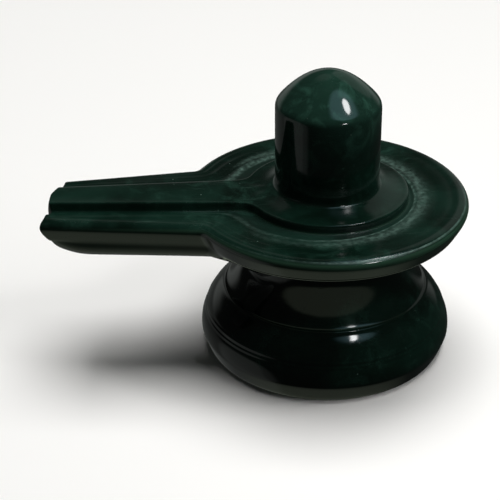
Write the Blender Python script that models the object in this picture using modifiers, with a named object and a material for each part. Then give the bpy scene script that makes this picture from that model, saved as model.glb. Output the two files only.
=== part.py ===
"""A small tabletop shiva lingam, carved from one block of green stone.

The stepped round foot stands on z = 0 with its axis on Z. The basin's spout points along -X.
"""
import math

import bmesh
import bpy

MM = 0.001

# Foot: radii, and the height of each turned stretch from the sole upwards
SOLE_RADIUS = 28.2 * MM
SOLE_CHAMFER = 0.5 * MM
FOOT_RADIUS = 29.7 * MM
BAND_HEIGHT = 4.4 * MM
DRUM_HEIGHT = 4.3 * MM
DRUM_LEAN = 0.9 * MM
STEP_COUNT = 2
STEP_WIDTH = 0.35 * MM
STEP_HEIGHT = 1.0 * MM
STEP_SLOPE_HEIGHT = 0.5 * MM
BELL_HEIGHT = 4.6 * MM
BELL_SWELL = 0.46 * MM
BELL_TOP_RADIUS = 24.2 * MM
BEAD_WIDTH = 0.8 * MM
BEAD_HEIGHT = 0.7 * MM

# Waist between the foot and the basin
WAIST_RADIUS = 17.8 * MM
WAIST_COVE_HEIGHT = 8.9 * MM
WAIST_WALL = 1.2 * MM
COVE_LAP = 0.12 * MM

# Basin: the round dish that carries the pillar
BASIN_RADIUS = 32.7 * MM
UNDERSIDE_COVE_HEIGHT = 6.9 * MM
EDGE_UNDERCUT = 2.1 * MM
EDGE_HEIGHT = 4.5 * MM
EDGE_CURVE = 1.4
RIM_ROUND_WIDTH = 0.8 * MM
RIM_ROUND_HEIGHT = 1.5 * MM
RIM_FALL = 0.4 * MM

# Spout, from the kink where it leaves the basin to its tip
SPOUT_REACH = 63.6 * MM
SPOUT_TIP_WIDTH = 20.4 * MM
SPOUT_ROOT_WIDTH = 29.2 * MM
SPOUT_RISE = 1.2 * MM
SPOUT_BELLY_DEPTH = 6.6 * MM
SPOUT_BELLY_CURVE = 0.8
SPOUT_BELLY_START = 7.1 * MM
SPOUT_TIP_UNDERCUT = 2.3 * MM
SPOUT_TIP_LIFT = 2.4 * MM
SPOUT_TIP_ROUND = 9.0 * MM
SPOUT_TIP_BULGE = 0.6 * MM
SPOUT_TIP_CORNER = 1.6 * MM
SPOUT_TIP_CORNER_CURVE = 6
SPOUT_TIP_SLANT = 0.28
SPOUT_KINK_ROUND = 3.0 * MM
KEEL_FILLET = 4.5 * MM
KEEL_FILLET_LENGTH = 9.9 * MM

# Channel between the rim and the raised collar
CHANNEL_RADIUS = 22.6 * MM
CHANNEL_OFFSET = 2.2 * MM
CHANNEL_TIP_WIDTH = 12.4 * MM
CHANNEL_ROOT_WIDTH = 15.0 * MM
CHANNEL_FLARE = 9.0 * MM
CHANNEL_DEPTH = 0.5 * MM
CHANNEL_SLOPE = 1.3 * MM

# Raised collar round the pillar, with the tongue that runs down the spout
COLLAR_RADIUS = 18.8 * MM
COLLAR_HEIGHT = 1.3 * MM
COLLAR_CROWN = 0.9 * MM
COLLAR_EDGE = 0.4 * MM
TONGUE_TIP_WIDTH = 7.8 * MM
TONGUE_ROOT_WIDTH = 10.8 * MM
TONGUE_FLARE = 4.0 * MM

# Pillar
PILLAR_RADIUS = 12.05 * MM
PILLAR_HEIGHT = 20.9 * MM
PILLAR_FOOT_FILLET = 1.0 * MM
PILLAR_SHOULDER_HEIGHT = 0.9 * MM
PILLAR_SHOULDER_WIDTH = 0.36 * MM
DOME_HEIGHT = 7.1 * MM

# How far a joined shape runs into the one that carries it, and a cutter beyond it
BURIED = 2.0 * MM
CLEARANCE = 8.0 * MM
CUTTER_SPREAD = 1.6 * MM

# Fineness of the faceted shapes
TURN_STEPS = 72
WAIST_STATIONS = 7
BEAD_STATIONS = 2
BELL_STATIONS = 5
DRUM_STATIONS = 4
DOME_STATIONS = 7
FILLET_STATIONS = 4
COVE_STATIONS = 7
EDGE_STATIONS = 3
RIM_STATIONS = 4
COLLAR_EDGE_STATIONS = 2
TIP_STATIONS = 5
SIDE_STATIONS = 9
KINK_STATIONS = 5
DISH_STATIONS = 22
WELD = 0.000005

# Levels that follow from the heights above
LEDGE_LEVEL = BAND_HEIGHT + DRUM_HEIGHT
BELL_LEVEL = LEDGE_LEVEL + STEP_COUNT * STEP_HEIGHT
BEAD_LEVEL = BELL_LEVEL + BELL_HEIGHT
WAIST_LEVEL = BEAD_LEVEL + BEAD_HEIGHT + WAIST_COVE_HEIGHT
COVE_LEVEL = WAIST_LEVEL + WAIST_WALL
UNDERSIDE_LEVEL = COVE_LEVEL + UNDERSIDE_COVE_HEIGHT
WIDEST_LEVEL = UNDERSIDE_LEVEL + EDGE_HEIGHT
RIM_LEVEL = WIDEST_LEVEL + RIM_ROUND_HEIGHT
COLLAR_LEVEL = RIM_LEVEL + COLLAR_HEIGHT
KINK_X = -math.sqrt(BASIN_RADIUS ** 2 - (SPOUT_ROOT_WIDTH / 2) ** 2)


def clear_scene():
    """Remove every object that the open file holds."""
    for item in list(bpy.data.objects):
        bpy.data.objects.remove(item, do_unlink=True)


def new_collection(name):
    """Add a collection to the scene and return it."""
    collection = bpy.data.collections.new(name)
    bpy.context.scene.collection.children.link(collection)
    return collection


def green_stone():
    """Polished dark green stone."""
    material = bpy.data.materials.new("green_stone")
    material.use_nodes = True
    shader = material.node_tree.nodes["Principled BSDF"]
    shader.inputs["Base Color"].default_value = (0.012, 0.045, 0.028, 1.0)
    shader.inputs["Roughness"].default_value = 0.12
    shader.inputs["Metallic"].default_value = 0.0
    return material


def smoothstep(value, low, high):
    """Rise smoothly from 0 at low to 1 at high."""
    share = min(max((value - low) / (high - low), 0.0), 1.0)
    return share * share * (3.0 - 2.0 * share)


def mix(first, second, share):
    """Blend two numbers."""
    return first + (second - first) * share


def turned(name, profile, collection):
    """Turn a profile of (radius, height) points, listed from the top down, about Z."""
    mesh = bpy.data.meshes.new(name)
    points = [(radius, 0.0, height) for radius, height in profile]
    edges = [(index, index + 1) for index in range(len(points) - 1)]
    mesh.from_pydata(points, edges, [])
    body = bpy.data.objects.new(name, mesh)
    collection.objects.link(body)
    screw = body.modifiers.new("turn", "SCREW")
    screw.steps = TURN_STEPS
    screw.render_steps = TURN_STEPS
    screw.use_merge_vertices = True
    screw.merge_threshold = WELD
    screw.use_smooth_shade = True
    return body


def quarter(start, end, count, bulge_first):
    """Points of a quarter ellipse between two profile points, the start left out.

    With bulge_first the curve leaves the start along the radius, otherwise along the height.
    """
    points = []
    for index in range(1, count + 1):
        angle = 0.5 * math.pi * index / count
        fast = math.sin(angle)
        slow = 1.0 - math.cos(angle)
        across, along = (fast, slow) if bulge_first else (slow, fast)
        points.append((mix(start[0], end[0], across), mix(start[1], end[1], along)))
    return points


def foot_profile():
    """Foot and waist, from the buried top of the waist down to the middle of the sole."""
    top = COVE_LEVEL + BURIED
    bead_root = (BELL_TOP_RADIUS - BEAD_WIDTH, BEAD_LEVEL + BEAD_HEIGHT)
    ledge_radius = FOOT_RADIUS - DRUM_LEAN
    bell_radius = ledge_radius - STEP_COUNT * STEP_WIDTH
    points = [(0.0, top), (WAIST_RADIUS, top), (WAIST_RADIUS, WAIST_LEVEL)]
    points += quarter(points[-1], bead_root, WAIST_STATIONS, False)
    points += quarter(points[-1], (BELL_TOP_RADIUS, BEAD_LEVEL), BEAD_STATIONS, True)
    points += bell_curve(bell_radius)
    for step in range(STEP_COUNT):
        radius = bell_radius + (step + 1) * STEP_WIDTH
        step_top = BELL_LEVEL - step * STEP_HEIGHT
        points.append((radius, step_top - STEP_SLOPE_HEIGHT))
        points.append((radius, step_top - STEP_HEIGHT))
    points += quarter(points[-1], (FOOT_RADIUS, BAND_HEIGHT), DRUM_STATIONS, True)
    points.append((SOLE_RADIUS, SOLE_CHAMFER))
    points.append((SOLE_RADIUS - SOLE_CHAMFER, 0.0))
    points.append((0.0, 0.0))
    return points


def bell_curve(bell_radius):
    """Convex flank of the bell, from its bead down to the small steps."""
    points = []
    for index in range(1, BELL_STATIONS + 1):
        share = index / BELL_STATIONS
        swell = BELL_SWELL * math.sin(math.pi * share)
        radius = mix(BELL_TOP_RADIUS, bell_radius, share) + swell
        points.append((radius, mix(BEAD_LEVEL, BELL_LEVEL, share)))
    return points


def keyhole(radius, centre, tip_width, root_width, tip, flare):
    """Outline of a round dish with a tapering spout, as x and y of each station.

    The stations run from the middle of the tip along the -Y side to the far end of the dish. The
    corner between spout and dish is rounded with the radius flare.
    """
    half_tip = 0.5 * tip_width
    half_root = 0.5 * root_width
    taper = math.atan2(half_root - half_tip, KINK_X + SPOUT_REACH)
    along = (math.cos(taper), -math.sin(taper))
    outward = (-math.sin(taper), -math.cos(taper))
    start = (tip, -half_tip + (tip + SPOUT_REACH) * along[1] / along[0])
    flare_start = (start[0] + flare * outward[0], start[1] + flare * outward[1])
    from_centre = (flare_start[0] - centre, flare_start[1])
    half_b = from_centre[0] * along[0] + from_centre[1] * along[1]
    rest = from_centre[0] ** 2 + from_centre[1] ** 2 - (radius + flare) ** 2
    reach = -half_b - math.sqrt(max(half_b ** 2 - rest, 0.0))
    pivot = (flare_start[0] + reach * along[0], flare_start[1] + reach * along[1])
    kink = (start[0] + reach * along[0], start[1] + reach * along[1])

    points = []
    for index in range(TIP_STATIONS):
        points.append((tip, start[1] * index / TIP_STATIONS))
    for index in range(SIDE_STATIONS):
        share = index / SIDE_STATIONS
        points.append((mix(start[0], kink[0], share), mix(start[1], kink[1], share)))
    first = math.atan2(-outward[1], -outward[0])
    last = math.atan2(-pivot[1], centre - pivot[0])
    for index in range(KINK_STATIONS):
        angle = mix(first, last, index / KINK_STATIONS)
        points.append((pivot[0] + flare * math.cos(angle), pivot[1] + flare * math.sin(angle)))
    first = math.atan2(pivot[1], pivot[0] - centre)
    for index in range(DISH_STATIONS + 1):
        angle = mix(first, 0.0, index / DISH_STATIONS)
        points.append((centre + radius * math.cos(angle), radius * math.sin(angle)))
    return points


def tip_shape(point, half_width, corner):
    """Bulge the tip, round its corners in plan and slant it as the carver left it."""
    x, y = point
    near_tip = smoothstep(-x, -KINK_X, SPOUT_REACH)
    across = min(abs(y) / half_width, 1.0)
    at_tip = smoothstep(-x, SPOUT_REACH - 2.0 * SPOUT_TIP_CORNER, SPOUT_REACH)
    rounded = corner * across ** SPOUT_TIP_CORNER_CURVE
    bulged = SPOUT_TIP_BULGE * (1.0 - across ** 2)
    return x + at_tip * (rounded - bulged) + near_tip * SPOUT_TIP_SLANT * y, y


def ring(outline, level, corner=0.0):
    """Close an outline with its mirror image and lift it to the height that level gives."""
    mirrored = [(x, -y) for x, y in reversed(outline[1:-1])]
    widest = max(-y for x, y in outline[:TIP_STATIONS + 1])
    closed = []
    for x, y in outline + mirrored:
        place = tip_shape((x, y), widest, corner) if widest > WELD else (x, y)
        closed.append((place[0], place[1], level(x)))
    return closed


def loft(name, rings, collection):
    """Skin a stack of rings that have the same stations, and cap both ends."""
    work = bmesh.new()
    rows = [[work.verts.new(point) for point in points] for points in rings]
    for lower, upper in zip(rows, rows[1:]):
        for index in range(len(lower)):
            after = (index + 1) % len(lower)
            work.faces.new((lower[index], upper[index], upper[after], lower[after]))
    work.faces.new(rows[0])
    work.faces.new(reversed(rows[-1]))
    bmesh.ops.remove_doubles(work, verts=work.verts, dist=WELD)
    bmesh.ops.dissolve_degenerate(work, dist=WELD, edges=work.edges)
    bmesh.ops.recalc_face_normals(work, faces=work.faces)
    mesh = bpy.data.meshes.new(name)
    work.to_mesh(mesh)
    work.free()
    body = bpy.data.objects.new(name, mesh)
    collection.objects.link(body)
    return body


def spout_rise(x):
    """Height that the spout gains over the dish on the way to its tip."""
    return SPOUT_RISE * min(max((-x - WAIST_RADIUS) / (SPOUT_REACH - WAIST_RADIUS), 0.0), 1.0)


def belly_share(x):
    """How far the underside has turned from the dish's cove into the spout's belly."""
    return smoothstep(-x, WAIST_RADIUS - SPOUT_BELLY_START, -KINK_X - SPOUT_KINK_ROUND)


def keel_fillet(x):
    """How far the spout's keel has sunk into the fillet that meets the waist."""
    inside = smoothstep(-x, WAIST_RADIUS - SPOUT_BELLY_START, WAIST_RADIUS)
    outside = smoothstep(-x, WAIST_RADIUS, WAIST_RADIUS + KEEL_FILLET_LENGTH)
    return KEEL_FILLET * (inside - outside)


def basin_ring(inset, tip_inset, height):
    """One ring of the basin's edge, inset from its widest outline."""
    outline = keyhole(BASIN_RADIUS - inset, 0.0, SPOUT_TIP_WIDTH - 2 * inset,
                      SPOUT_ROOT_WIDTH - 2 * inset, -SPOUT_REACH + tip_inset, SPOUT_KINK_ROUND)
    return ring(outline, lambda x: height + spout_rise(x), SPOUT_TIP_CORNER)


def underside_rings():
    """Rings of the underside, from the waist and the keel of the spout out to the edge."""
    rings = []
    for index in range(COVE_STATIONS):
        angle = 0.5 * math.pi * (1.0 - index / COVE_STATIONS)
        reach = 1.0 - math.cos(angle)
        width_share = 1.0 - reach
        radius = mix(BASIN_RADIUS - EDGE_UNDERCUT, WAIST_RADIUS + COVE_LAP, math.sin(angle))
        dish_level = UNDERSIDE_LEVEL - UNDERSIDE_COVE_HEIGHT * reach
        keel = UNDERSIDE_LEVEL - SPOUT_BELLY_DEPTH * math.sin(angle) ** SPOUT_BELLY_CURVE
        tip = -SPOUT_REACH + mix(SPOUT_TIP_UNDERCUT, SPOUT_TIP_ROUND, reach)
        outline = keyhole(radius, 0.0, (SPOUT_TIP_WIDTH - 2 * EDGE_UNDERCUT) * width_share,
                          (SPOUT_ROOT_WIDTH - 2 * EDGE_UNDERCUT) * width_share, tip,
                          SPOUT_KINK_ROUND * width_share)

        def level(x, dish_level=dish_level, keel=keel, reach=reach):
            lift = SPOUT_TIP_LIFT * smoothstep(-x, SPOUT_REACH - SPOUT_TIP_ROUND, SPOUT_REACH)
            belly = min(keel + lift, UNDERSIDE_LEVEL)
            sunk = keel_fillet(x) * reach ** 2
            return mix(dish_level, belly, belly_share(x)) + spout_rise(x) - sunk

        rings.append(ring(outline, level, SPOUT_TIP_CORNER * width_share))
    return rings


def basin(collection):
    """The dish and its spout, up to the flat between the rims."""
    rings = underside_rings()
    for index in range(EDGE_STATIONS):
        share = index / EDGE_STATIONS
        recess = (1.0 - share) ** EDGE_CURVE
        height = mix(UNDERSIDE_LEVEL, WIDEST_LEVEL, share)
        rings.append(basin_ring(EDGE_UNDERCUT * recess, SPOUT_TIP_UNDERCUT * recess, height))
    for index in range(RIM_STATIONS + 1):
        angle = 0.5 * math.pi * index / RIM_STATIONS
        inset = RIM_ROUND_WIDTH * (1.0 - math.cos(angle))
        height = WIDEST_LEVEL + RIM_ROUND_HEIGHT * math.sin(angle)
        rings.append(basin_ring(inset, inset, height))
    inner = keyhole(CHANNEL_RADIUS, -CHANNEL_OFFSET, CHANNEL_TIP_WIDTH, CHANNEL_ROOT_WIDTH,
                    -SPOUT_REACH + CHANNEL_SLOPE, CHANNEL_FLARE)
    rings.append(ring(inner, lambda x: RIM_LEVEL - RIM_FALL + spout_rise(x)))
    return loft("shiva_lingam", rings, collection)


def channel_cutter(collection):
    """The channel that runs round the collar and out at the spout's tip."""
    rings = []
    floor = RIM_LEVEL - RIM_FALL - CHANNEL_DEPTH
    for inset, height in ((CHANNEL_SLOPE, floor), (0.0, floor + CHANNEL_DEPTH),
                          (-CUTTER_SPREAD, floor + CHANNEL_DEPTH + CLEARANCE)):
        outline = keyhole(CHANNEL_RADIUS - inset, -CHANNEL_OFFSET, CHANNEL_TIP_WIDTH - 2 * inset,
                          CHANNEL_ROOT_WIDTH - 2 * inset, -SPOUT_REACH - CLEARANCE,
                          CHANNEL_FLARE + inset)
        rings.append(ring(outline, lambda x, height=height: height + spout_rise(x)))
    return loft("channel_cutter", rings, collection)


def collar(collection):
    """The raised collar and the tongue that runs from it to the spout's tip."""
    rings = []
    tip = -SPOUT_REACH + COLLAR_EDGE
    base = RIM_LEVEL - RIM_FALL - CHANNEL_DEPTH - BURIED
    edge_steps = [(0.0, base), (0.0, COLLAR_LEVEL - COLLAR_EDGE)]
    edge_steps += quarter(edge_steps[-1], (COLLAR_EDGE, COLLAR_LEVEL), COLLAR_EDGE_STATIONS, False)
    for inset, height in edge_steps:
        outline = keyhole(COLLAR_RADIUS - inset, 0.0, TONGUE_TIP_WIDTH - 2 * inset,
                          TONGUE_ROOT_WIDTH - 2 * inset, tip + inset, TONGUE_FLARE + inset)
        rings.append(ring(outline, lambda x, height=height: height + spout_rise(x)))
    return loft("collar", rings, collection)


def pillar_profile():
    """The pillar and the crown of the collar, from the top of the dome down."""
    crown_level = COLLAR_LEVEL + COLLAR_CROWN
    shoulder_level = crown_level + PILLAR_HEIGHT
    shoulder_radius = PILLAR_RADIUS - PILLAR_SHOULDER_WIDTH
    points = [(0.0, shoulder_level + DOME_HEIGHT)]
    for index in range(1, DOME_STATIONS + 1):
        share = index / DOME_STATIONS
        points.append((shoulder_radius * share, shoulder_level + DOME_HEIGHT * (1.0 - share ** 2)))
    points.append((PILLAR_RADIUS, shoulder_level - PILLAR_SHOULDER_HEIGHT))
    points.append((PILLAR_RADIUS, crown_level + PILLAR_FOOT_FILLET))
    fillet_end = (PILLAR_RADIUS + PILLAR_FOOT_FILLET, crown_level)
    points += quarter(points[-1], fillet_end, FILLET_STATIONS, False)
    points.append((COLLAR_RADIUS - COLLAR_EDGE, COLLAR_LEVEL))
    points.append((COLLAR_RADIUS - COLLAR_EDGE, COLLAR_LEVEL - BURIED))
    points.append((0.0, COLLAR_LEVEL - BURIED))
    return points


def join(body, tool, operation):
    """Boolean the tool into the body and keep the tool out of renders."""
    tool.hide_render = True
    tool.display_type = "WIRE"
    modifier = body.modifiers.new(tool.name, "BOOLEAN")
    modifier.operation = operation
    modifier.solver = "EXACT"
    modifier.object = tool


def main():
    clear_scene()
    parts = new_collection("shiva_lingam")
    tools = new_collection("cutters")
    body = basin(parts)
    join(body, channel_cutter(tools), "DIFFERENCE")
    join(body, collar(tools), "UNION")
    join(body, turned("pillar", pillar_profile(), tools), "UNION")
    join(body, turned("foot", foot_profile(), tools), "UNION")
    body.data.materials.append(green_stone())
    body.data.shade_smooth()
    body.data.set_sharp_from_angle(angle=math.radians(35))


main()
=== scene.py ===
"""Shiva lingam in polished dark green stone: the finished look of the carved block.

The stone is modelled as one cage and subdivided. The basin and its spout are one grid that is
wrapped into shape, and the pillar, the waist, the foot and the end of the spout are drawn out of
its open edges ring by ring. The lamps, the window and the card of the stage are there for the
polish to mirror.
"""

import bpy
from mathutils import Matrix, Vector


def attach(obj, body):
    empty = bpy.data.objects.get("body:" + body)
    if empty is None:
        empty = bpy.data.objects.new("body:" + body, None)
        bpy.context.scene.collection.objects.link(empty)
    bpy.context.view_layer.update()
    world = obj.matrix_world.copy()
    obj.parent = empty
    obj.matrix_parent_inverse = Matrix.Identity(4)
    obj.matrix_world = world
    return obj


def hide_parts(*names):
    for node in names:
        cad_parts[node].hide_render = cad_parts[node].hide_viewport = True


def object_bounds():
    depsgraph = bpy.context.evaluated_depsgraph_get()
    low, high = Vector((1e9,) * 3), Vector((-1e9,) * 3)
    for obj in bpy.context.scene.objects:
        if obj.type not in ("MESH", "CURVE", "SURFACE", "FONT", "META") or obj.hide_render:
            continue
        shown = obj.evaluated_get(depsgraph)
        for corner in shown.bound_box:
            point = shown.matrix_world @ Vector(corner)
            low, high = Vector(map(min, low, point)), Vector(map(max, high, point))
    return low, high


bl_info = {
    "name": "Shiva Lingam",
    "version": (1, 0, 0),
    "blender": (4, 5, 0),
    "location": "View3D > Sidebar > Lingam",
    "description": "Models a polished stone lingam with its basin, foot and studio stage",
    "category": "Object",
}

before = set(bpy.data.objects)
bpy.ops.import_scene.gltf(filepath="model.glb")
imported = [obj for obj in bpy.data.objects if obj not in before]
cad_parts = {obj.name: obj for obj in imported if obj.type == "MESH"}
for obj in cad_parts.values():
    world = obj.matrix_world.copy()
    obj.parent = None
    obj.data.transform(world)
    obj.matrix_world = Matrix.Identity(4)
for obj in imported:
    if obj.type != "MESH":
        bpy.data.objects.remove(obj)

import math

import bmesh
import bpy
from mathutils import Euler, Matrix, Vector

MM = 0.001
CAD_LOW, CAD_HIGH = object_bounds()
NODE = "shiva_lingam"

# Fineness of the cage before it is subdivided
SIDE_SHARES = (0.0, 0.02, 0.06, 0.13, 0.22, 0.33, 0.45, 0.57, 0.69, 0.81, 0.91)
SIDE_STATIONS = len(SIDE_SHARES)
KINK_STATIONS = 5
DISH_STATIONS = 20
SUBDIVISIONS = 2

# Rows and rings of the cage along a plain stretch, as shares of its length
CROWN_SHARES = (0.0, 0.28, 0.58, 0.84, 1.0)
DISH_SIDE_SHARES = (0.35, 0.7, 0.94)
SPOUT_END_SHARES = (0.965, 0.88, 0.70, 0.45, 0.18)
PILLAR_WALL_SHARES = (0.0, 0.35, 0.7, 1.0)
DOME_SHARES = (0.995, 0.94, 0.84, 0.70, 0.54, 0.37, 0.20, 0.08)
BELL_SHARES = (0.1, 0.3, 0.55, 0.8, 0.97)
BAND_SHARES = (0.05, 0.45, 0.93)

# Rows of the cove under the dish, as degrees of a quarter turn
UNDER_DEGREES = (3, 14, 27, 40, 53, 66, 78, 90)

# Cove over the bead: how much of the keel's fillet each ring still shows, and its profile's bend
COVE_UNEVENNESS = (0.8, 0.6, 0.35, 0.15, 0.05, 0.0)
COVE_BEND = (0.11, 0.40)

SMALL_STEPS = 2

# Rounded stretches of the cage, as shares of the way across and of the height
CHANNEL_SLOPE = ((0.3, 0.05), (0.55, 0.32), (0.8, 0.74), (0.94, 0.97))
RIM_CREASES = ((0.25, 0.0), (0.42, 1.0), (0.5, 0.2), (0.68, 0.0), (0.82, 0.9), (0.9, 0.1))
RIM_ROUNDING = ((0.90, 0.03), (0.62, 0.12), (0.22, 0.42), (0.04, 0.72), (0.0, 1.1))
PILLAR_FILLET = ((0.42, 0.10), (0.10, 0.42), (0.0, 1.05))
BEAD_ROUNDING = ((0.45, 0.08), (0.12, 0.4), (0.0, 0.95))
STEP_ROUNDING = ((0.85, 0.22), (0.1, 0.42), (0.0, 0.92))
DRUM_PROFILE = ((0.35, 0.10), (0.75, 0.35), (0.97, 0.70), (1.0, 0.93))
SOLE_PROFILE = ((0.5, 0.35), (1.1, 0.0), (2.4, 0.0), (12.0, 0.0))

# Lip round the channel, as millimetres outside the channel and a share of the lip's height
LIP_PROFILE = ((0.08, 0.45), (0.38, 1.0), (0.72, 0.8), (1.1, 0.25), (1.5, 0.0))

# Collar's edge, as a share of its rounding outwards, millimetres from the spout's end, and a share
# of the rounding downwards. The wall below it ends in millimetres over the channel's floor.
COLLAR_ROUNDING = ((-0.25, 1.05, 0.25), (0.0, 1.15, 1.0))
COLLAR_WALL = ((0.2, 1.40, 0.35), (0.5, 1.60, 0.08), (1.2, 1.65, 0.0))

# How far the rows beside the collar stop short of the spout's end
PILLAR_ROW_END = 0.4 * MM
CROWN_END = 0.95 * MM
CHANNEL_END = 1.05 * MM
LIP_END = 1.0 * MM

# Heights between which the stone grows cloudy towards the dome
DOME_CLOUDS = (54.0 * MM, 63.0 * MM)

# Places of the colour sockets in a Mix node
MIX_FIRST = 6
MIX_SECOND = 7
MIX_RESULT = 2

BLACK = (0.0, 0.0, 0.0, 1.0)

# Points of the stone that the two small lamps look at
DOME_GLINT = (2.4 * MM, -8.6 * MM, 64.8 * MM)
BELL_GLINT = (3.2 * MM, -24.9 * MM, 14.5 * MM)

# Pale card that is bent round the waist
CARD_RADIUS = 27 * MM
CARD_LEVEL = 27 * MM
CARD_HEIGHT = 8 * MM
CARD_REACH = (34 * MM, 36 * MM, 3.2 * MM)

# Soft window beside the lamp
WINDOW_PLACE = (56 * MM, -56 * MM, 188 * MM)
WINDOW_RADIUS = 86 * MM
WINDOW_FADE = 84 * MM
WINDOW_SQUASH = 0.8


def length(name, description, millimetres):
    """A size in the panel, given in millimetres and kept in metres."""
    return bpy.props.FloatProperty(name=name, description=description, default=millimetres * MM,
                                   min=0.0, precision=5, unit="LENGTH")


def ratio(name, description, value):
    """A plain factor in the panel."""
    return bpy.props.FloatProperty(name=name, description=description, default=value)


def colour(name, description, value):
    """A colour in the panel."""
    return bpy.props.FloatVectorProperty(name=name, description=description, default=value, size=3,
                                         min=0.0, max=1.0, subtype="COLOR")


class LingamFootSizes(bpy.types.PropertyGroup):
    """Turned foot and waist."""
    sole_radius: length("Sole radius", "Radius at the bottom of the foot's band", 28.2)
    sole_chamfer: length("Sole chamfer", "Chamfer round the underside", 0.5)
    radius: length("Foot radius", "Radius at the foot's widest line", 29.7)
    band_height: length("Band height", "From the table to the widest line", 4.4)
    drum_height: length("Drum height", "From the widest line to the ledge", 4.3)
    drum_lean: length("Drum lean", "How far the drum draws in up to its ledge", 0.9)
    step_width: length("Step width", "How far each small step draws in", 0.35)
    step_height: length("Step height", "Height of each small step", 1.0)
    bell_height: length("Bell height", "From the steps to the bead", 4.6)
    bell_swell: length("Bell swell", "How far the bell's flank bulges", 0.46)
    bell_top_radius: length("Bell top radius", "Radius of the bell under its bead", 24.2)
    bead_width: length("Bead width", "How far the bead stands out of the cove", 0.8)
    bead_height: length("Bead height", "Height of the bead", 0.7)
    waist_radius: length("Waist radius", "Radius of the waist", 17.8)
    waist_cove: length("Waist cove", "Height of the cove between bead and waist", 8.9)
    waist_wall: length("Waist wall", "Height of the upright stretch of the waist", 1.2)


class LingamBasinSizes(bpy.types.PropertyGroup):
    """Round dish with its channel and collar."""
    radius: length("Basin radius", "Radius of the dish", CAD_HIGH[0] / MM + 0.12)
    cove_height: length("Cove height", "Height of the cove under the dish", 6.9)
    undercut: length("Undercut", "How far the dish's side draws in towards its lower edge", 2.1)
    edge_height: length("Edge height", "Height of the dish's side", 4.1)
    round_width: length("Rim round width", "Width of the rounding on the rim", 1.8)
    round_height: length("Rim round height", "Height of the rounding on the rim", 1.9)
    rim_fall: length("Rim fall", "How far the rim falls towards the channel", 0.4)
    channel_radius: length("Channel radius", "Radius of the channel's outer edge", 22.6)
    channel_offset: length("Channel offset", "How far the channel sits towards the spout", 2.2)
    channel_flare: length("Channel flare", "Radius where the channel turns into the spout", 9.0)
    channel_depth: length("Channel depth", "Depth of the channel below its outer edge", 0.5)
    lip_height: length("Lip height", "Height of the small lip round the channel", 0.06)
    crease_depth: length("Crease depth", "Depth of the hand-cut creases on the rim", 0.05)
    collar_radius: length("Collar radius", "Radius of the raised collar", 18.8)
    collar_height: length("Collar height", "Height of the collar over the rim", 1.3)
    collar_crown: length("Collar crown", "Rise of the collar towards the pillar", 0.9)
    collar_edge: length("Collar edge", "Rounding of the collar's edge", 0.4)


class LingamSpoutSizes(bpy.types.PropertyGroup):
    """Spout with the tongue and the channel's two arms."""
    reach: length("Reach", "From the pillar's axis to the spout's end", 63.6)
    tip_width: length("Tip width", "Width at the spout's end", 20.4)
    root_width: length("Root width", "Width where the spout leaves the dish", 29.2)
    rise: length("Rise", "How far the spout climbs to its end", 1.2)
    belly_depth: length("Belly depth", "Depth of the spout's belly below the side", 6.6)
    tip_undercut: length("Tip undercut", "How far the end draws in at the lower edge", 2.0)
    tip_round: length("Tip round", "How far the keel stops short of the end", 9.0)
    tip_lift: length("Tip lift", "How far the keel climbs at the end", 2.4)
    tip_bulge: length("Tip bulge", "How far the middle of the end stands out", 0.2)
    tip_corner: length("Tip corner", "How far the end draws in at its upper edge", 1.3)
    tip_side: length("Tip side", "How far the end draws in at its sides", 0.6)
    tip_slant: ratio("Tip slant", "Askew cut of the end, as a slope", 0.26)
    kink_round: length("Kink round", "Radius between the spout's side and the dish", 3.0)
    channel_tip: length("Channel tip width", "Width over both channels at the end", 12.4)
    channel_root: length("Channel root width", "Width over both channels at the dish", 15.0)
    tongue_tip: length("Tongue tip width", "Width of the tongue at the end", 7.8)
    tongue_root: length("Tongue root width", "Width of the tongue at the dish", 10.8)
    tongue_flare: length("Tongue flare", "Radius where the tongue meets the collar", 4.0)
    tongue_crown: length("Tongue crown", "How far the middle of the tongue stands up", 0.25)
    keel_fillet: length("Keel fillet", "How far the keel runs down the waist", 4.5)
    keel_length: length("Keel fillet length", "Length of that fillet along the keel", 9.9)
    belly_start: length("Belly start", "Depth inside the waist where the belly begins", 7.1)


class LingamPillarSizes(bpy.types.PropertyGroup):
    """Domed pillar."""
    radius: length("Pillar radius", "Radius of the pillar", 12.05)
    foot_fillet: length("Foot fillet", "Fillet between pillar and collar", 1.0)
    shoulder_height: length("Shoulder height", "Height of the rounding under the dome", 0.9)
    shoulder_width: length("Shoulder width", "Width of the rounding under the dome", 0.36)
    dome_height: length("Dome height", "Height of the dome", 7.1)
    top: length("Top", "Height of the dome's top over the table", CAD_HIGH[2] / MM)


class LingamStoneLook(bpy.types.PropertyGroup):
    """Colours of the stone."""
    deep: colour("Deep green", "Darkest body of the stone", (0.0018, 0.0068, 0.0042))
    body: colour("Body green", "Main colour of the stone", (0.0042, 0.0170, 0.0112))
    cloud: colour("Cloud green", "Milky clouds in the stone", (0.0160, 0.0500, 0.0350))
    vein: colour("Vein", "Pale wisps and hairline scratches", (0.0350, 0.0750, 0.0580))
    speck: colour("Speck", "Tiny pale specks", (0.0700, 0.1200, 0.0950))
    # Painted sheen: this pale colour is partly the dull ground stone and partly stands in for the
    # lamp's sheen on the channel's slope
    ground_and_sheen: colour("Ground channel", "Dull stone in the ground channel", (0.0800, 0.1400, 0.1150))
    # Painted glow: a paler colour on the dish's upright side stands in for light shining through
    # the thin stone
    edge_glow: colour("Thin edge", "Light through the thin edge of the dish", (0.0220, 0.0560, 0.0340))
    roughness: ratio("Roughness", "Roughness of the polish", 0.075)
    channel_roughness: ratio("Channel roughness", "Roughness left in the ground channel", 0.42)


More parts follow.
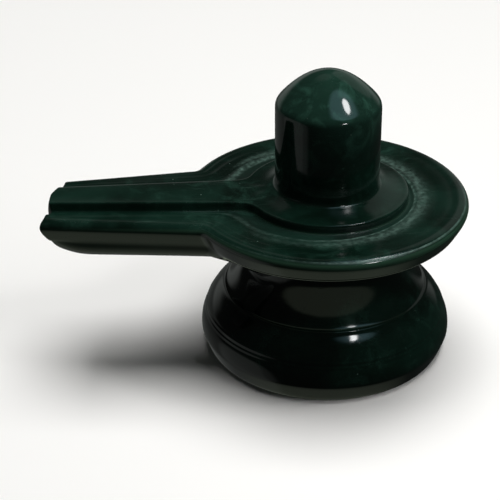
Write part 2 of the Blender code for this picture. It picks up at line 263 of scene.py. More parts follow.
class LingamStageLook(bpy.types.PropertyGroup):
    """Floor, lights and camera."""
    floor_radius: length("Floor radius", "Radius of the pale floor", 3000.0)
    floor_colour: colour("Floor colour", "Colour of the floor", (0.92, 0.91, 0.89))
    lamp_power: ratio("Lamp power", "Power of the small lamp in watts", 0.048)
    spot_power: ratio("Spot power", "Power of the tiny lamp before the foot in watts", 0.0030)
    window_glow: ratio("Window glow", "Brightness of the soft window beside the lamp", 4.0)
    card_glow: ratio("Card glow", "Brightness of the pale card round the waist", 0.23)
    side_power: ratio("Side power", "Power of the soft light from the side in watts", 1.6)
    fill_power: ratio("Fill power", "Power of the overhead light in watts", 10.5)
    room_colour: colour("Room colour", "Tint of the room in the polish", (0.93, 1.0, 0.95))
    sky: ratio("Sky", "Brightness of the dim room", 0.02)
    side_table: ratio("Side table", "Brightness of the table on the spout's side", 0.085)
    below: ratio("Below", "Brightness of the table below the dish", 0.23)
    below_colour: colour("Below colour", "Tint of the table below the dish", (0.86, 1.0, 0.76))
    horizon: ratio("Horizon", "Brightness of the far wall low down", 0.30)
    panel: ratio("Panel", "Brightness of the pale wall at the back right", 0.20)
    back_light: ratio("Back light", "Brightness of the ceiling at the back", 0.14)
    window_colour: colour("Window colour", "Colour of the soft window", (0.50, 0.88, 1.0))
    camera_place: bpy.props.FloatVectorProperty(
        name="Camera place", description="Where the camera stands", unit="LENGTH",
        default=(-41.90 * MM, -304.85 * MM, 199.66 * MM), size=3, precision=5)
    camera_tilt: bpy.props.FloatProperty(
        name="Camera tilt", description="Angle of the camera from straight down", unit="ROTATION",
        default=math.radians(60.2))
    camera_turn: bpy.props.FloatProperty(
        name="Camera turn", description="Turn of the camera about the upright", unit="ROTATION",
        default=math.radians(-4.5))
    camera_roll: bpy.props.FloatProperty(
        name="Camera roll", description="Roll of the camera about its own axis", unit="ROTATION",
        default=math.radians(-0.5))
    camera_lens: ratio("Camera lens", "Focal length in millimetres on a 36 mm sensor", 108.0)


def smoothstep(value, low, high):
    """Rise smoothly from 0 at low to 1 at high."""
    share = min(max((value - low) / (high - low), 0.0), 1.0)
    return share * share * (3.0 - 2.0 * share)


def mix(first, second, share):
    """Blend two numbers."""
    return first + (second - first) * share


def blend(first, second, share):
    """Blend two rows of stations, point by point."""
    return [tuple(mix(a, b, share) for a, b in zip(one, other))
            for one, other in zip(first, second)]


def cove_steps(count, first):
    """Shares of the way out and of the way down for the points of a cove with a bent profile."""
    steps = []
    for index in range(1, count + 1):
        share = index / count
        bend = 2.0 * share * (1.0 - share)
        steps.append((bend * first[0] + share ** 2, bend * first[1] + share ** 2))
    return steps


class StoneShape:
    """Works out the cage of the stone from the sizes in the panel."""

    def __init__(self, scene):
        self.foot = scene.lingam_foot
        self.basin = scene.lingam_basin
        self.spout = scene.lingam_spout
        self.pillar = scene.lingam_pillar
        foot = self.foot
        basin = self.basin
        self.ledge = foot.band_height + foot.drum_height
        self.bell = self.ledge + SMALL_STEPS * foot.step_height
        self.bead = self.bell + foot.bell_height
        self.waist = self.bead + foot.bead_height + foot.waist_cove
        self.cove = self.waist + foot.waist_wall
        self.underside = self.cove + basin.cove_height
        self.widest = self.underside + basin.edge_height
        self.rim = self.widest + basin.round_height
        self.floor = self.rim - basin.rim_fall - basin.channel_depth
        self.collar = self.rim + basin.collar_height
        self.crown = self.collar + basin.collar_crown
        self.kink_x = -math.sqrt(basin.radius ** 2 - (0.5 * self.spout.root_width) ** 2)
        self.pillar_base = self.pillar.radius + self.pillar.foot_fillet

    def rise(self, x):
        """Height that the spout gains over the dish."""
        start = self.foot.waist_radius
        share = (-x - start) / (self.spout.reach - start)
        return self.spout.rise * min(max(share, 0.0), 1.0)

    def stations(self, radius, tip_width, root_width, flare, end, level, centre=0.0):
        """One row of the cage on the -Y side, from the spout's end to the far side of the dish.

        The row follows a round dish with a tapering spout, and the corner between the two is
        rounded with the radius flare. end is how far the row stops short of the spout's end.
        """
        taper = math.atan2(0.5 * (root_width - tip_width), self.kink_x + self.spout.reach)
        along = Vector((math.cos(taper), -math.sin(taper)))
        outward = Vector((-math.sin(taper), -math.cos(taper)))
        start_x = -self.spout.reach + end
        start = Vector((start_x, -0.5 * tip_width - end * math.tan(taper)))
        offset = start + flare * outward - Vector((centre, 0.0))
        half_b = offset.dot(along)
        rest = offset.length_squared - (radius + flare) ** 2
        reach = -half_b - math.sqrt(max(half_b ** 2 - rest, 0.0))
        kink = start + reach * along
        pivot = kink + flare * outward
        points = [start.lerp(kink, share) for share in SIDE_SHARES]
        first = math.atan2(-outward.y, -outward.x)
        last = math.atan2(-pivot.y, centre - pivot.x)
        for index in range(KINK_STATIONS):
            angle = mix(first, last, index / KINK_STATIONS)
            points.append(pivot + flare * Vector((math.cos(angle), math.sin(angle))))
        first = math.atan2(pivot.y, pivot.x - centre)
        for index in range(DISH_STATIONS + 1):
            angle = mix(first, 0.0, index / DISH_STATIONS)
            points.append(Vector((centre + radius * math.cos(angle), radius * math.sin(angle))))
        return [(point.x, point.y, level + self.rise(point.x)) for point in points]

    def spine(self, radius, end, level):
        """Innermost row: along the spout's middle line and then round a circle."""
        points = []
        for share in SIDE_SHARES:
            points.append((mix(-self.spout.reach + end, -radius, share), 0.0, level))
        round_count = KINK_STATIONS + DISH_STATIONS
        for index in range(round_count + 1):
            angle = math.pi * (index / round_count - 1.0)
            side = radius * math.sin(angle) if 0 < index < round_count else 0.0
            points.append((radius * math.cos(angle), side, level))
        return points

    def crown_height(self, x, y):
        """Height of the collar's crown and of the tongue's rounded top."""
        basin = self.basin
        spout = self.spout
        edge = basin.collar_radius - basin.collar_edge
        share = (math.hypot(x, y) - self.pillar_base) / (edge - self.pillar_base)
        crown = basin.collar_crown * max(1.0 - share, 0.0) ** 2.4
        half = mix(0.5 * spout.tongue_root, 0.5 * spout.tongue_tip,
                   smoothstep(-x, -self.kink_x, spout.reach))
        on_tongue = smoothstep(-x, edge, edge + 2 * spout.tongue_flare)
        hump = spout.tongue_crown * on_tongue * max(1.0 - (y / half) ** 2, 0.0)
        return self.collar + self.rise(x) + crown + hump

    def crown_rows(self):
        """Rows over the crown and the tongue, from the pillar out to the collar's edge."""
        edge = self.basin.collar_edge
        outer = self.collar_row(-edge, CROWN_END, 0.0)
        inner = self.spine(self.pillar_base, PILLAR_ROW_END, 0.0)
        rows = []
        for share in CROWN_SHARES:
            row = blend(inner, outer, share)
            rows.append([(x, y, self.crown_height(x, y)) for x, y, z in row])
        return rows

    def collar_row(self, outset, end, drop):
        """A row round the collar and its tongue, outset from their upright side."""
        basin = self.basin
        spout = self.spout
        return self.stations(basin.collar_radius + outset, spout.tongue_tip + 2 * outset,
                             spout.tongue_root + 2 * outset, spout.tongue_flare - outset, end,
                             self.collar - drop)

    def channel_row(self, outset, end, height):
        """A row round the channel, outset from its outer edge, at a height over its floor."""
        basin = self.basin
        spout = self.spout
        return self.stations(basin.channel_radius + outset, spout.channel_tip + 2 * outset,
                             spout.channel_root + 2 * outset, basin.channel_flare - outset, end,
                             self.floor + height, -basin.channel_offset)

    def basin_row(self, inset, end, level):
        """A row round the outside of the basin and its spout."""
        spout = self.spout
        return self.stations(self.basin.radius - inset, spout.tip_width - 2 * inset,
                             spout.root_width - 2 * inset, spout.kink_round, end, level)

    def top_rows(self):
        """Rows from the collar's edge across the channel and the rim."""
        basin = self.basin
        edge = basin.collar_edge
        wall = self.collar - self.floor
        rows = []
        for outset, end, drop in COLLAR_ROUNDING:
            rows.append(self.collar_row(outset * edge, end * MM, drop * edge))
        for outset, end, over in COLLAR_WALL:
            rows.append(self.collar_row(outset * edge, end * MM, wall - over * MM))
        depth = basin.channel_depth
        base = rows[-1]
        lip = self.channel_row(0.0, CHANNEL_END, depth)
        for share, height in CHANNEL_SLOPE:
            slope = blend(base, lip, share)
            rows.append([(x, y, self.floor + self.rise(x) + depth * height) for x, y, z in slope])
        for outset, height in LIP_PROFILE:
            rows.append(self.channel_row(outset * MM, LIP_END, depth + basin.lip_height * height))
        outer = self.basin_row(basin.round_width + 0.45 * MM, self.spout.tip_corner, self.rim)
        inner = rows[-1]
        for share, crease in RIM_CREASES:
            sunk = basin.crease_depth * crease
            rows.append([(x, y, z - sunk) for x, y, z in blend(inner, outer, share)])
        rows.append(outer)
        return rows

    def edge_rows(self):
        """Rows over the rim's rounding and down the side of the dish."""
        basin = self.basin
        rows = []
        for across, down in RIM_ROUNDING:
            end = mix(self.spout.tip_side, self.spout.tip_corner, across)
            rows.append(self.basin_row(basin.round_width * across, end,
                                       self.rim - basin.round_height * down))
        spout = self.spout
        for share in DISH_SIDE_SHARES:
            recess = share ** 1.1
            end = mix(spout.tip_side, spout.tip_undercut, share ** 2)
            rows.append(self.basin_row(basin.undercut * recess, end,
                                       self.widest - basin.edge_height * share))
        return rows

    def under_rows(self):
        """Rows from the lower edge under the dish to the waist, and under the spout to its keel."""
        foot = self.foot
        spout = self.spout
        outer = self.basin_row(self.basin.undercut + 0.12 * MM, spout.tip_undercut, self.underside)
        inner = self.spine(foot.waist_radius, spout.tip_round, self.underside)
        rows = []
        for degrees in UNDER_DEGREES:
            angle = math.radians(degrees)
            sunk = 1.0 - math.cos(angle)
            row = []
            for index, (edge, target) in enumerate(zip(outer, inner)):
                on_spout = 1.0 - smoothstep(index, SIDE_STATIONS + 1,
                                            SIDE_STATIONS + KINK_STATIONS + 9)
                share = mix(1.0 - math.sin(angle), math.cos(angle), on_spout)
                x = mix(target[0], edge[0], share)
                y = mix(target[1], edge[1], share)
                dish = self.underside - self.basin.cove_height * sunk
                lift = spout.tip_lift * smoothstep(-x, spout.reach - spout.tip_round, spout.reach)
                belly = self.underside - spout.belly_depth * math.sin(angle) ** 0.8
                level = mix(dish, min(belly + lift, self.underside), on_spout) + self.rise(x)
                row.append((x, y, level - self.keel_fillet(x) * sunk ** 2))
            rows.append(row)
        return rows

    def keel_fillet(self, x):
        """How far the keel and the waist below it are drawn down into each other."""
        spout = self.spout
        waist = self.foot.waist_radius
        inside = smoothstep(-x, waist - spout.belly_start, waist)
        outside = smoothstep(-x, waist, waist + spout.keel_length)
        return spout.keel_fillet * (inside - outside)

    def askew(self, x, y):
        """Slant of the spout's end, as the carver left it."""
        near_tip = smoothstep(-x, -self.kink_x, self.spout.reach)
        return x + near_tip * self.spout.tip_slant * y

    def pillar_rings(self):
        """Radius and height of each ring from the collar up to the top of the dome."""
        pillar = self.pillar
        shoulder = pillar.top - pillar.dome_height
        shoulder_radius = pillar.radius - pillar.shoulder_width
        fillet = pillar.foot_fillet
        rings = []
        for across, up in PILLAR_FILLET:
            rings.append((pillar.radius + fillet * across, self.crown + fillet * up))
        wall_low = self.crown + 2.5 * fillet
        wall_high = shoulder - 1.9 * pillar.shoulder_height
        for share in PILLAR_WALL_SHARES:
            rings.append((pillar.radius, mix(wall_low, wall_high, share)))
        rings.append((pillar.radius, shoulder - pillar.shoulder_height))
        for share in DOME_SHARES:
            up = 1.0 - share ** 2
            rings.append((shoulder_radius * share, shoulder + pillar.dome_height * up))
        return rings

    def foot_rings(self):
        """Radius, height and unevenness of each ring from the waist down to the sole."""
        foot = self.foot
        bead_root = foot.bell_top_radius - foot.bead_width
        bead_top = self.bead + foot.bead_height
        rings = [(foot.waist_radius, self.waist + 0.1 * MM, 1.0)]
        steps = cove_steps(len(COVE_UNEVENNESS), COVE_BEND)
        for (across, down), rough in zip(steps, COVE_UNEVENNESS):
            rings.append((mix(foot.waist_radius, bead_root, across),
                          self.waist - foot.waist_cove * down, rough))
        top = foot.bell_top_radius
        for back, drop in BEAD_ROUNDING:
            rings.append((top - foot.bead_width * back, bead_top - foot.bead_height * drop, 0.0))
        ledge_radius = foot.radius - foot.drum_lean
        bell_radius = ledge_radius - SMALL_STEPS * foot.step_width
        for share in BELL_SHARES:
            radius = mix(top, bell_radius, share) + foot.bell_swell * math.sin(math.pi * share)
            rings.append((radius, mix(self.bead, self.bell, share), 0.0))
        for step in range(SMALL_STEPS):
            radius = bell_radius + (step + 1) * foot.step_width
            height = self.bell - step * foot.step_height
            for back, drop in STEP_ROUNDING:
                rings.append((radius - foot.step_width * back,
                              height - foot.step_height * drop, 0.0))
        for across, down in DRUM_PROFILE:
            rings.append((ledge_radius + foot.drum_lean * across,
                          self.ledge - foot.drum_height * down, 0.0))
        for share in BAND_SHARES:
            radius = mix(foot.radius, foot.sole_radius, share)
            rings.append((radius, mix(foot.band_height, foot.sole_chamfer, share), 0.0))
        chamfer = foot.sole_chamfer
        for back, height in SOLE_PROFILE:
            rings.append((foot.sole_radius - chamfer * back, chamfer * height, 0.0))
        return rings


def half_to_full(row):
    """Join a row on the -Y side with its mirror image."""
    return row + [(x, -y, z) for x, y, z in reversed(row[:-1])]


def wrap_grid(shape, name):
    """Add a flat grid and wrap it into the basin and its spout, leaving three open edges."""
    rows = shape.crown_rows() + shape.top_rows() + shape.edge_rows() + shape.under_rows()
    rows = [half_to_full(row) for row in rows]
    columns = len(rows[0]) - 1
    bpy.ops.mesh.primitive_grid_add(x_subdivisions=columns, y_subdivisions=len(rows) - 1, size=1.0)
    stone = bpy.context.active_object
    stone.name = name
    stone.data.name = name
    for vertex in stone.data.vertices:
        column = round((vertex.co.x + 0.5) * columns)
        row = round((vertex.co.y + 0.5) * (len(rows) - 1))
        vertex.co = rows[row][column]
    bpy.ops.object.mode_set(mode="EDIT")
    bpy.ops.mesh.select_all(action="SELECT")
    bpy.ops.mesh.remove_doubles(threshold=0.001 * MM)
    return stone


def select_open_edge(stone, wanted):
    """Select the open edges whose middle point is wanted."""
    bpy.ops.mesh.select_all(action="DESELECT")
    bpy.ops.mesh.select_mode(type="EDGE")
    work = bmesh.from_edit_mesh(stone.data)
    for edge in work.edges:
        middle = 0.5 * (edge.verts[0].co + edge.verts[1].co)
        if edge.is_boundary and wanted(middle):
            edge.select_set(True)
    bmesh.update_edit_mesh(stone.data)


def extrude_ring(move, scale, centre):
    """Extrude the selected open edge, then move and scale the new ring."""
    bpy.ops.mesh.extrude_edges_move(TRANSFORM_OT_translate={"value": move})
    bpy.ops.transform.resize(value=scale, center_override=centre)


def close_spout_end(shape, stone):
    """Draw the spout's end in to a rounded face and cut it askew."""
    spout = shape.spout
    middle = 0.5 * (shape.collar + shape.underside - spout.belly_depth) + spout.rise
    centre = (-spout.reach - spout.tip_bulge, 0.0, middle)
    select_open_edge(stone, lambda point: point.x < 0.7 * -spout.reach)
    last = 1.0
    for size in SPOUT_END_SHARES:
        step = size / last
        extrude_ring((0.0, 0.0, 0.0), (step * step, step, step), centre)
        last = size
    bpy.ops.mesh.edge_face_add()
    work = bmesh.from_edit_mesh(stone.data)
    for vertex in work.verts:
        vertex.co.x = shape.askew(vertex.co.x, vertex.co.y)
    bmesh.update_edit_mesh(stone.data)


def draw_pillar(shape, stone):
    """Draw the pillar up out of the collar and close its dome."""
    height = shape.crown
    radius = shape.pillar_base
    select_open_edge(stone, lambda point: point.z > shape.rim)
    for ring_radius, ring_height in shape.pillar_rings():
        size = ring_radius / radius
        extrude_ring((0.0, 0.0, ring_height - height), (size, size, 1.0), (0.0, 0.0, ring_height))
        radius = ring_radius
        height = ring_height
    bpy.ops.mesh.edge_face_add()


def draw_foot(shape, stone):
    """Draw the waist and the foot down out of the dish and close the sole."""
    height = shape.cove
    radius = shape.foot.waist_radius
    uneven = 1.0
    select_open_edge(stone, lambda point: point.z < shape.underside)
    for ring_radius, ring_height, ring_uneven in shape.foot_rings():
        size = ring_radius / radius
        flat = ring_uneven / uneven if uneven else 1.0
        extrude_ring((0.0, 0.0, ring_height - height), (size, size, flat), (0.0, 0.0, ring_height))
        radius = ring_radius
        height = ring_height
        uneven = ring_uneven
    bpy.ops.mesh.edge_face_add()


class Wire:
    """A shader socket that can be used in arithmetic."""

    def __init__(self, board, socket):
        self.board = board
        self.socket = socket

    def math(self, operation, first, second):
        """Add a Math node."""
        return self.board.add("ShaderNodeMath", {"operation": operation}, {0: first, 1: second})

    def sister(self, name):
        """Another output of the same node."""
        return Wire(self.board, self.socket.node.outputs[name])

    def __add__(self, other):
        return self.math("ADD", self, other)

    def __radd__(self, other):
        return self.math("ADD", other, self)

    def __sub__(self, other):
        return self.math("SUBTRACT", self, other)

    def __rsub__(self, other):
        return self.math("SUBTRACT", other, self)

    def __mul__(self, other):
        return self.math("MULTIPLY", self, other)

    def __rmul__(self, other):
        return self.math("MULTIPLY", other, self)

    def __abs__(self):
        return self.math("ABSOLUTE", self, 0.0)


class Board:
    """Adds nodes to one node tree."""

    def __init__(self, tree):
        self.tree = tree
        tree.nodes.clear()

    def add(self, kind, settings=None, sockets=None, output=0):
        """Add a node, set it up, fill or link its sockets and return one of its outputs."""
        node = self.tree.nodes.new(kind)
        for name, value in (settings or {}).items():
            setattr(node, name, value)
        for name, value in (sockets or {}).items():
            if isinstance(value, Wire):
                self.tree.links.new(value.socket, node.inputs[name])
            else:
                node.inputs[name].default_value = value
        return Wire(self, node.outputs[output]) if node.outputs else node

    def axis(self, vector, name):
        """One part of a vector: X, Y or Z."""
        return self.add("ShaderNodeSeparateXYZ", {}, {"Vector": vector}, name)

    def vector(self, operation, first, second, output="Vector"):
        """Vector Math on two vectors."""
        return self.add("ShaderNodeVectorMath", {"operation": operation}, {0: first, 1: second},
                        output)

    def stretched(self, coordinates, turn, scale):
        """Coordinates that are turned and stretched, for streaks."""
        return self.add("ShaderNodeMapping", {}, {"Vector": coordinates, "Rotation": turn,
                                                  "Scale": scale})

    def noise(self, coordinates, scale, detail, distortion=0.0, roughness=0.5):
        """Cloudy noise between about 0.2 and 0.8."""
        return self.add("ShaderNodeTexNoise", {}, {"Vector": coordinates, "Scale": scale,
                        "Detail": detail, "Distortion": distortion, "Roughness": roughness})

    def ramp(self, value, low, high):
        """Rise smoothly from 0 where value is low to 1 where it is high."""
        return self.add("ShaderNodeMapRange", {"interpolation_type": "SMOOTHSTEP"},
                        {"Value": value, "From Min": low, "From Max": high})

    def mix_colour(self, share, first, second):
        """Blend two colours."""
        return self.add("ShaderNodeMix", {"data_type": "RGBA"},
                        {0: share, MIX_FIRST: first, MIX_SECOND: second}, MIX_RESULT)


def rgba(value):
    """A colour from the panel with full opacity."""
    return (value[0], value[1], value[2], 1.0)


def new_material(name):
    """A new material and the empty board for its nodes."""
    material = bpy.data.materials.new(name)
    material.use_nodes = True
    return material, Board(material.node_tree)


class StoneMarks:
    """Where the stone is cloudy, veined, speckled and scratched, each from 0 to 1."""

    def __init__(self, board, place):
        self.grain = board.noise(place, 1100.0, 3.0)
        self.body = board.ramp(board.noise(place, 60.0, 5.0, 0.5), 0.36, 0.66)
        patches = board.ramp(board.noise(place, 38.0, 3.0, 0.4), 0.44, 0.62)
        cloudy = board.ramp(board.noise(place, 170.0, 6.0, 0.9, 0.62), 0.46, 0.74)
        in_dome = board.ramp(board.axis(place, "Z"), *DOME_CLOUDS)
        self.clouds = cloudy * (0.12 + 0.50 * patches + 0.60 * in_dome) + 0.34 * in_dome
        veined = board.stretched(place, (0.1, 0.2, 0.12), (150.0, 620.0, 520.0))
        self.wisps = board.ramp(board.noise(veined, 1.0, 3.0, 0.6), 0.62, 0.78) * patches
        cells = board.add("ShaderNodeTexVoronoi", {}, {"Vector": place, "Scale": 520.0,
                                                       "Randomness": 1.0})
        chosen = board.ramp(cells.sister("Color"), 0.80, 0.86)
        self.specks = (1.0 - board.ramp(cells, 0.05, 0.13)) * chosen
        hairline = board.stretched(place, (0.2, 0.1, 0.5), (70.0, 3200.0, 1200.0))
        self.scratches = board.ramp(board.noise(hairline, 1.0, 1.0), 0.70, 0.76)


class DishMarks:
    """Where the dish has its painted edge glow, its ground channel with painted sheen and its worn
    top, each from 0 to 1.
    """

    def __init__(self, board, place, shape):
        along = board.axis(place, "X")
        height = board.axis(place, "Z")
        facing = board.axis(board.add("ShaderNodeNewGeometry", output="Normal"), "Z")
        upward = board.ramp(facing, 0.6, 0.85)
        upright = 1.0 - board.ramp(abs(facing), 0.5, 0.95)
        # Painted glow: the upright side between the cove and the rim is painted paler, for light
        # shining through the thin edge
        over_cove = board.ramp(height, shape.underside - 3 * MM, shape.underside)
        under_rim = 1.0 - board.ramp(height, shape.floor - 0.1 * MM, shape.rim - 0.2 * MM)
        self.edge_glow = upright * over_cove * under_rim
        over_floor = board.ramp(height, shape.floor - 0.3 * MM, shape.floor - 0.1 * MM)
        in_channel = 1.0 - board.ramp(height, shape.floor + 0.44 * MM, shape.floor + 0.62 * MM)
        self.ground_and_sheen = upward * over_floor * in_channel
        # Painted sheen: the ring channel's slope is painted paler and grainy. This is partly the
        # dull ground stone and partly the lamp's sheen. It is weaker on the near left side, where
        # no sheen shows
        on_ring = board.ramp(along, -36 * MM, -24 * MM)
        on_slope = board.ramp(height, shape.floor + 0.22 * MM, shape.floor + 0.40 * MM)
        abraded = board.ramp(board.noise(place, 900.0, 3.0), 0.30, 0.75)
        far_side = board.ramp(board.axis(place, "Y"), 0.0, 8 * MM)
        near_left = (1.0 - far_side) * (1.0 - board.ramp(along, -12 * MM, 6 * MM))
        worn_and_sheen = on_ring * on_slope * (0.15 + 0.85 * abraded) * (1.0 - 0.75 * near_left)
        self.dull_and_sheen = self.ground_and_sheen * worn_and_sheen
        under_pillar = 1.0 - board.ramp(height, shape.crown, shape.crown + 2 * MM)
        self.top = upward * over_floor * under_pillar


def polished_green_stone(look, shape):
    """Dark green stone with milky clouds, wisps, specks, hairline scratches and a high polish."""
    material, board = new_material("polished_green_stone")
    place = board.add("ShaderNodeTexCoord", output="Object")
    stone = StoneMarks(board, place)
    dish = DishMarks(board, place, shape)

    layers = (
        (stone.clouds * (0.75 + 0.5 * stone.grain), look.cloud),
        (stone.wisps * 0.30, look.vein),
        (stone.specks * 0.75, look.speck),
        (stone.scratches * 0.08, look.vein),
        # painted glow on the dish's upright side
        (dish.edge_glow * 0.7, look.edge_glow),
        # painted sheen with the dull ground stone on the ring channel's slope
        (dish.dull_and_sheen, look.ground_and_sheen),
    )
    shade = board.mix_colour(stone.body, rgba(look.deep), rgba(look.body))
    for share, tint in layers:
        shade = board.mix_colour(share, shade, rgba(tint))

    rough = (look.roughness + 0.03 * stone.grain + 0.10 * stone.scratches + 0.20 * stone.specks
             + 0.08 * dish.top + (look.channel_roughness - look.roughness) * dish.ground_and_sheen)
    waves = board.noise(place, 75.0, 2.0) + 0.25 * board.noise(place, 240.0, 2.0)
    relief = (waves * 6.0 - stone.scratches * 0.4 - stone.specks * 0.8
              + 0.6 * dish.ground_and_sheen * board.noise(place, 1500.0, 2.0))
    bump = board.add("ShaderNodeBump", {}, {"Strength": 1.0, "Distance": 0.01 * MM,
                                            "Height": relief})
    shader = board.add("ShaderNodeBsdfPrincipled", {}, {"Base Color": shade, "Roughness": rough,
                       "IOR": 1.5, "Normal": bump})
    board.add("ShaderNodeOutputMaterial", {}, {"Surface": shader})
    return material


def pale_floor(look):
    """Matt pale floor."""
    material, board = new_material("pale_floor")
    shader = board.add("ShaderNodeBsdfPrincipled", {}, {"Base Color": rgba(look.floor_colour),
                       "Roughness": 0.9, "Specular IOR Level": 0.1})
    board.add("ShaderNodeOutputMaterial", {}, {"Surface": shader})
    return material


def glow_only(board, tint, strength, cover=1.0):
    """Finish a material that glows and mirrors nothing, and is clear where cover is 0."""
    shader = board.add("ShaderNodeBsdfPrincipled", {}, {"Base Color": BLACK,
                       "Specular IOR Level": 0.0, "Emission Color": tint,
                       "Emission Strength": strength, "Alpha": cover})
    board.add("ShaderNodeOutputMaterial", {}, {"Surface": shader})


def window_pane(look):
    """Window whose light fades out towards its edge."""
    material, board = new_material("window_pane")
    place = board.add("ShaderNodeTexCoord", output="Object")
    far = board.vector("DISTANCE", place, WINDOW_PLACE, "Value")
    bright = (1.0 - board.ramp(far, 0.0, WINDOW_FADE)) * look.window_glow
    glow_only(board, board.mix_colour(bright, BLACK, rgba(look.window_colour)), 1.0)
    return material


def waist_glow(look):
    """Dim pale card that is clear outside an oval on its near side."""
    material, board = new_material("waist_glow")
    place = board.add("ShaderNodeTexCoord", output="Object")
    away = board.vector("SUBTRACT", place, (0.0, -CARD_RADIUS, CARD_LEVEL))
    far = board.vector("DISTANCE", board.vector("DIVIDE", away, CARD_REACH), (0, 0, 0), "Value")
    glow_only(board, rgba(look.below_colour), look.card_glow, 1.0 - board.ramp(far, 0.85, 1.0))
    return material


def mirrored_only(thing):
    """Hide a stage piece from the camera and from matt surfaces: only the polish shows it."""
    thing.visible_camera = False
    thing.visible_diffuse = False
    thing.visible_shadow = False


def lobe(board, ray, towards, low, high):
    """A soft patch of the room, brightest in one direction."""
    direction = Vector(towards).normalized()
    return board.ramp(board.vector("DOT_PRODUCT", ray, direction, "Value"), low, high)


def dim_room(look):
    """Set the world: a plain pale backdrop, and the dim room that the polish reflects."""
    world = bpy.data.worlds.new("room")
    bpy.context.scene.world = world
    world.use_nodes = True
    board = Board(world.node_tree)
    ray = board.add("ShaderNodeTexCoord", output="Generated")
    up = board.axis(ray, "Z")
    down = 0.0 - up
    side_table = lobe(board, ray, (-0.80, 0.55, -0.30), 0.50, 0.58) * board.ramp(down, 0.0, 0.1)
    spout_table = lobe(board, ray, (-0.88, -0.10, -0.45), 0.84, 0.92)
    behind = board.ramp(board.axis(ray, "Y"), 0.55, 0.85)
    horizon = board.ramp(up, -0.12, 0.0) * (1.0 - board.ramp(up, 0.12, 0.30)) * behind
    panel = lobe(board, ray, (0.50, 0.70, 0.50), 0.930, 0.945)
    back_light = lobe(board, ray, (-0.04, 0.62, 0.78), 0.955, 0.995)
    light = (look.sky + look.side_table * (side_table + 1.4 * spout_table)
             + look.horizon * horizon + look.panel * panel + look.back_light * back_light)
    below = board.ramp(down, 0.78, 0.99) * look.below
    shade = board.mix_colour(light, BLACK, rgba(look.room_colour))
    shade = board.mix_colour(below, shade, rgba(look.below_colour))
    seen = board.add("ShaderNodeLightPath", output="Is Camera Ray")
    shade = board.mix_colour(seen, shade, rgba(look.floor_colour))
    background = board.add("ShaderNodeBackground", {}, {"Color": shade, "Strength": 1.0})
    board.add("ShaderNodeOutputWorld", {}, {"Surface": background})


def add_floor(look):
    """Add the pale floor, which the polish doesn't mirror."""
    bpy.ops.mesh.primitive_circle_add(vertices=96, radius=look.floor_radius, fill_type="NGON")
    floor = bpy.context.active_object
    floor.name = "floor"
    floor.data.materials.append(pale_floor(look))
    floor.visible_glossy = False
    floor.visible_diffuse = False


def add_light(name, target, turn, lift, distance, size, power, shine, roll=0.0):
    """Add a light that looks at the target from a turn and a lift, given in degrees.

    Where shine is true, the polish mirrors the light.
    """
    turn = math.radians(turn)
    lift = math.radians(lift)
    flat = distance * math.cos(lift)
    place = Vector(target) + Vector((flat * math.sin(turn), flat * math.cos(turn),
                                     distance * math.sin(lift)))
    aim = (Vector(target) - place).to_track_quat("-Z", "Y").to_matrix()
    aim = (aim @ Matrix.Rotation(math.radians(roll), 3, "Z")).to_euler()
    bpy.ops.object.light_add(type="AREA", location=place, rotation=aim)
    lamp = bpy.context.active_object
    lamp.name = name
    lamp.data.shape = "ELLIPSE" if shine else "RECTANGLE"
    lamp.data.size = size[0]
    lamp.data.size_y = size[1]
    lamp.data.energy = power
    lamp.visible_glossy = shine
    lamp.visible_camera = False


def add_lights(look):
    """Add the two small lamps that glint in the polish and the two soft lights."""
    middle = (0.0, 0.0, 0.5 * CAD_HIGH[2])
    add_light("lamp", DOME_GLINT, turn=118, lift=57, distance=0.13, size=(0.028, 0.038),
              power=look.lamp_power, shine=True, roll=-40)
    add_light("spot", BELL_GLINT, turn=145, lift=57, distance=0.07, size=(0.0095, 0.006),
              power=look.spot_power, shine=True)
    add_light("side", middle, turn=112, lift=36, distance=0.8, size=(0.5, 0.5),
              power=look.side_power, shine=False)
    add_light("overhead", middle, turn=10, lift=78, distance=1.0, size=(0.7, 0.7),
              power=look.fill_power, shine=False)


def add_waist_card(look):
    """Add the pale card that is bent round the waist, for the waist's grey crescent."""
    bpy.ops.mesh.primitive_cylinder_add(vertices=96, radius=CARD_RADIUS, depth=CARD_HEIGHT,
                                        end_fill_type="NOTHING", location=(0.0, 0.0, CARD_LEVEL))
    card = bpy.context.active_object
    card.name = "waist_card"
    bpy.ops.object.transform_apply()
    card.data.materials.append(waist_glow(look))
    mirrored_only(card)


def add_window(look):
    """Add the soft window that faces the dome, for the halo round the lamp's glint."""
    bpy.ops.mesh.primitive_circle_add(vertices=48, radius=WINDOW_RADIUS, fill_type="NGON")
    window = bpy.context.active_object
    window.name = "window"
    bpy.ops.transform.resize(value=(1.0, WINDOW_SQUASH, 1.0))
    centre = Vector(WINDOW_PLACE)
    aim = (centre - Vector(DOME_GLINT)).to_track_quat("Z", "Y").to_matrix().to_4x4()
    window.matrix_world = Matrix.Translation(centre) @ aim @ window.matrix_world
    bpy.ops.object.transform_apply()
    window.data.materials.append(window_pane(look))
    mirrored_only(window)


def add_camera(look):
    """Add the camera at the photo's angle."""
    turn = Euler((look.camera_tilt, 0.0, look.camera_turn)).to_matrix()
    turn = turn @ Matrix.Rotation(look.camera_roll, 3, "Z")
    bpy.ops.object.camera_add(location=look.camera_place, rotation=turn.to_euler())
    camera = bpy.context.active_object
    camera.data.lens = look.camera_lens
    camera.data.sensor_width = 36.0
    camera.data.clip_start = 0.01
    camera.data.clip_end = 20.0
    bpy.context.scene.camera = camera


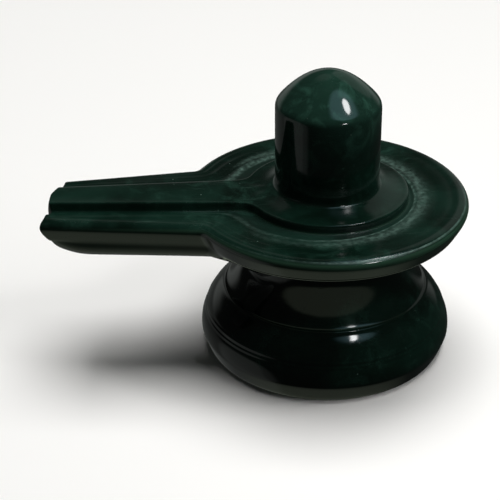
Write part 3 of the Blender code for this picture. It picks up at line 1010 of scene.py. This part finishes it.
class LINGAM_OT_carve_stone(bpy.types.Operator):
    """Model the stone and give it its polish"""
    bl_idname = "lingam.carve_stone"
    bl_label = "Carve Stone"
    bl_options = {"REGISTER", "UNDO"}

    def execute(self, context):
        bpy.ops.object.select_all(action="DESELECT")
        shape = StoneShape(context.scene)
        stone = wrap_grid(shape, "lingam_stone")
        close_spout_end(shape, stone)
        draw_pillar(shape, stone)
        draw_foot(shape, stone)
        bpy.ops.mesh.select_all(action="SELECT")
        bpy.ops.mesh.normals_make_consistent(inside=False)
        bpy.ops.object.mode_set(mode="OBJECT")
        smooth = stone.modifiers.new("smooth", "SUBSURF")
        smooth.levels = SUBDIVISIONS
        smooth.render_levels = SUBDIVISIONS
        bpy.ops.object.modifier_apply(modifier=smooth.name)
        bpy.ops.object.shade_smooth()
        stone.data.materials.clear()
        stone.data.materials.append(polished_green_stone(context.scene.lingam_stone, shape))
        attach(stone, "root")
        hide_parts(NODE)
        return {"FINISHED"}


class LINGAM_OT_set_stage(bpy.types.Operator):
    """Add the pale floor, the soft lights, the room and the camera"""
    bl_idname = "lingam.set_stage"
    bl_label = "Set Stage"
    bl_options = {"REGISTER", "UNDO"}

    def execute(self, context):
        look = context.scene.lingam_stage
        bpy.ops.object.select_all(action="DESELECT")
        add_floor(look)
        dim_room(look)
        add_lights(look)
        add_waist_card(look)
        add_window(look)
        add_camera(look)
        context.scene.view_settings.view_transform = "Standard"
        return {"FINISHED"}


class LINGAM_PT_panel(bpy.types.Panel):
    """Sizes, colours and steps"""
    bl_label = "Shiva Lingam"
    bl_idname = "LINGAM_PT_panel"
    bl_space_type = "VIEW_3D"
    bl_region_type = "UI"
    bl_category = "Lingam"

    def draw(self, context):
        layout = self.layout
        for operator in OPERATORS:
            layout.operator(operator.bl_idname)
        for name, group in GROUPS.items():
            box = layout.box()
            box.label(text=group.__doc__)
            for key in group.__annotations__:
                box.prop(getattr(context.scene, name), key)


GROUPS = {
    "lingam_foot": LingamFootSizes,
    "lingam_basin": LingamBasinSizes,
    "lingam_spout": LingamSpoutSizes,
    "lingam_pillar": LingamPillarSizes,
    "lingam_stone": LingamStoneLook,
    "lingam_stage": LingamStageLook,
}
OPERATORS = (LINGAM_OT_carve_stone, LINGAM_OT_set_stage)
CLASSES = tuple(GROUPS.values()) + OPERATORS + (LINGAM_PT_panel,)


def register():
    for item in CLASSES:
        bpy.utils.register_class(item)
    for name, group in GROUPS.items():
        setattr(bpy.types.Scene, name, bpy.props.PointerProperty(type=group))


def unregister():
    for name in GROUPS:
        delattr(bpy.types.Scene, name)
    for item in reversed(CLASSES):
        bpy.utils.unregister_class(item)


def main():
    register()
    bpy.ops.lingam.carve_stone()
    bpy.ops.lingam.set_stage()


if __name__ == "__main__":
    main()
